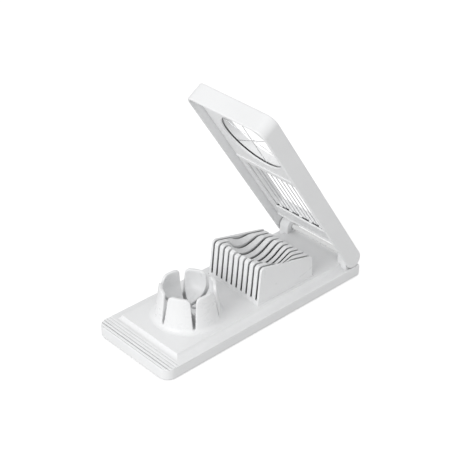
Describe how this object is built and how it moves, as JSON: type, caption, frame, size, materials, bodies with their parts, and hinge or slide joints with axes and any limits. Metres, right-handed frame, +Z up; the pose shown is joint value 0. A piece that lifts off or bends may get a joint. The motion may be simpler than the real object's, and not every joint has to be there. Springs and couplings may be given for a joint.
{
  "type": "egg slicer",
  "caption": "Flat white kitchen slicer: a tray with a ribbed egg cradle and a slotted wedging cup, under a hinged lid strung with steel wires.",
  "frame": {"origin": "middle of the underside, on the surface that the tray stands on", "axes": "+X along the tray towards the hinge, +Y across it, +Z up; the lid stands open at 56 degrees"},
  "size_m": [0.205, 0.08, 0.1773],
  "materials": {
    "white_plastic": "moulded, satin gloss",
    "cutting_wire": "drawn stainless wire"
  },
  "bodies": {
    "base": {"base_tray": "white_plastic", "slicing_cradle": "white_plastic", "wedge_cup": "white_plastic", "hinge_rod": "white_plastic"},
    "lid": {"lid_frame": "white_plastic", "lid_inner_plate": "white_plastic", "slicing_wire_01": "cutting_wire", "slicing_wire_02": "cutting_wire", "slicing_wire_03": "cutting_wire", "slicing_wire_04": "cutting_wire", "slicing_wire_05": "cutting_wire", "slicing_wire_06": "cutting_wire", "slicing_wire_07": "cutting_wire", "slicing_wire_08": "cutting_wire", "slicing_wire_09": "cutting_wire", "slicing_wire_10": "cutting_wire", "wedge_wire_1": "cutting_wire", "wedge_wire_2": "cutting_wire", "wedge_wire_3": "cutting_wire"}
  },
  "joints": [
    {"name": "lid_hinge", "type": "hinge", "parent": "base", "child": "lid", "pos_m": [0.0948, 0, 0.0177], "axis": [0, 1, 0], "range_deg": [-56.4, 38]}
  ]
}
